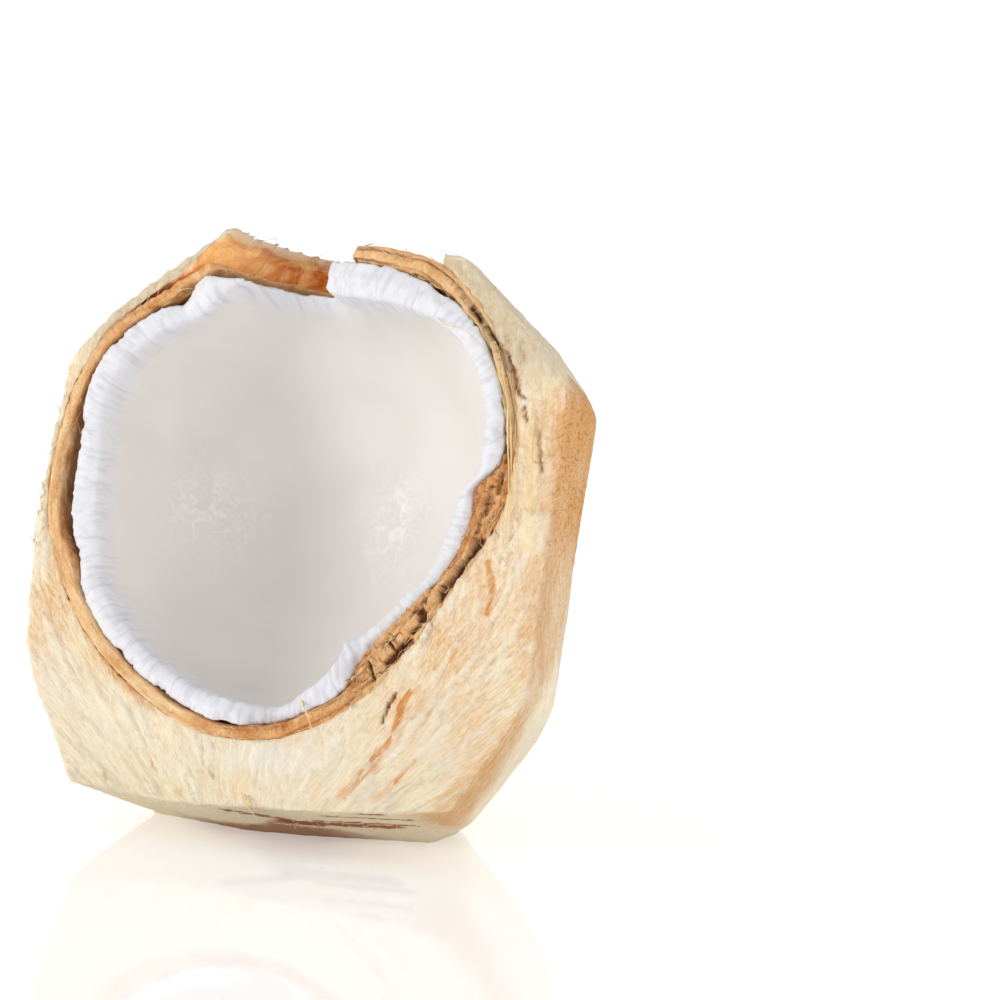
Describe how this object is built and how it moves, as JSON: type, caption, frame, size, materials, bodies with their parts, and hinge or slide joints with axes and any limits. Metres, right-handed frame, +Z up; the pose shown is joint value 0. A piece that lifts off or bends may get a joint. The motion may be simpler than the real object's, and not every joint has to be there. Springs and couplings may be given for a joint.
{
  "type": "coconut half",
  "caption": "Half of a trimmed young coconut split lengthwise: pale fibrous husk, thin brown shell and white kernel round an open hollow, leaning back on a small flat.",
  "frame": {"origin": "middle of the small flat that the half rests on, at the surface it stands on", "axes": "+Z up; -Y out of the split face, which leans back 18.5 degrees; +X to the right across that face"},
  "size_m": [0.1165, 0.0813, 0.119],
  "materials": {
    "husk": "matt cut fibre, cream with orange-brown stains",
    "shell": "rough broken edge, orange-brown",
    "kernel": "moist smooth white flesh with a crumbly edge"
  },
  "bodies": {
    "root": {"husk": "husk", "shell": "shell", "kernel": "kernel"}
  },
  "joints": []
}
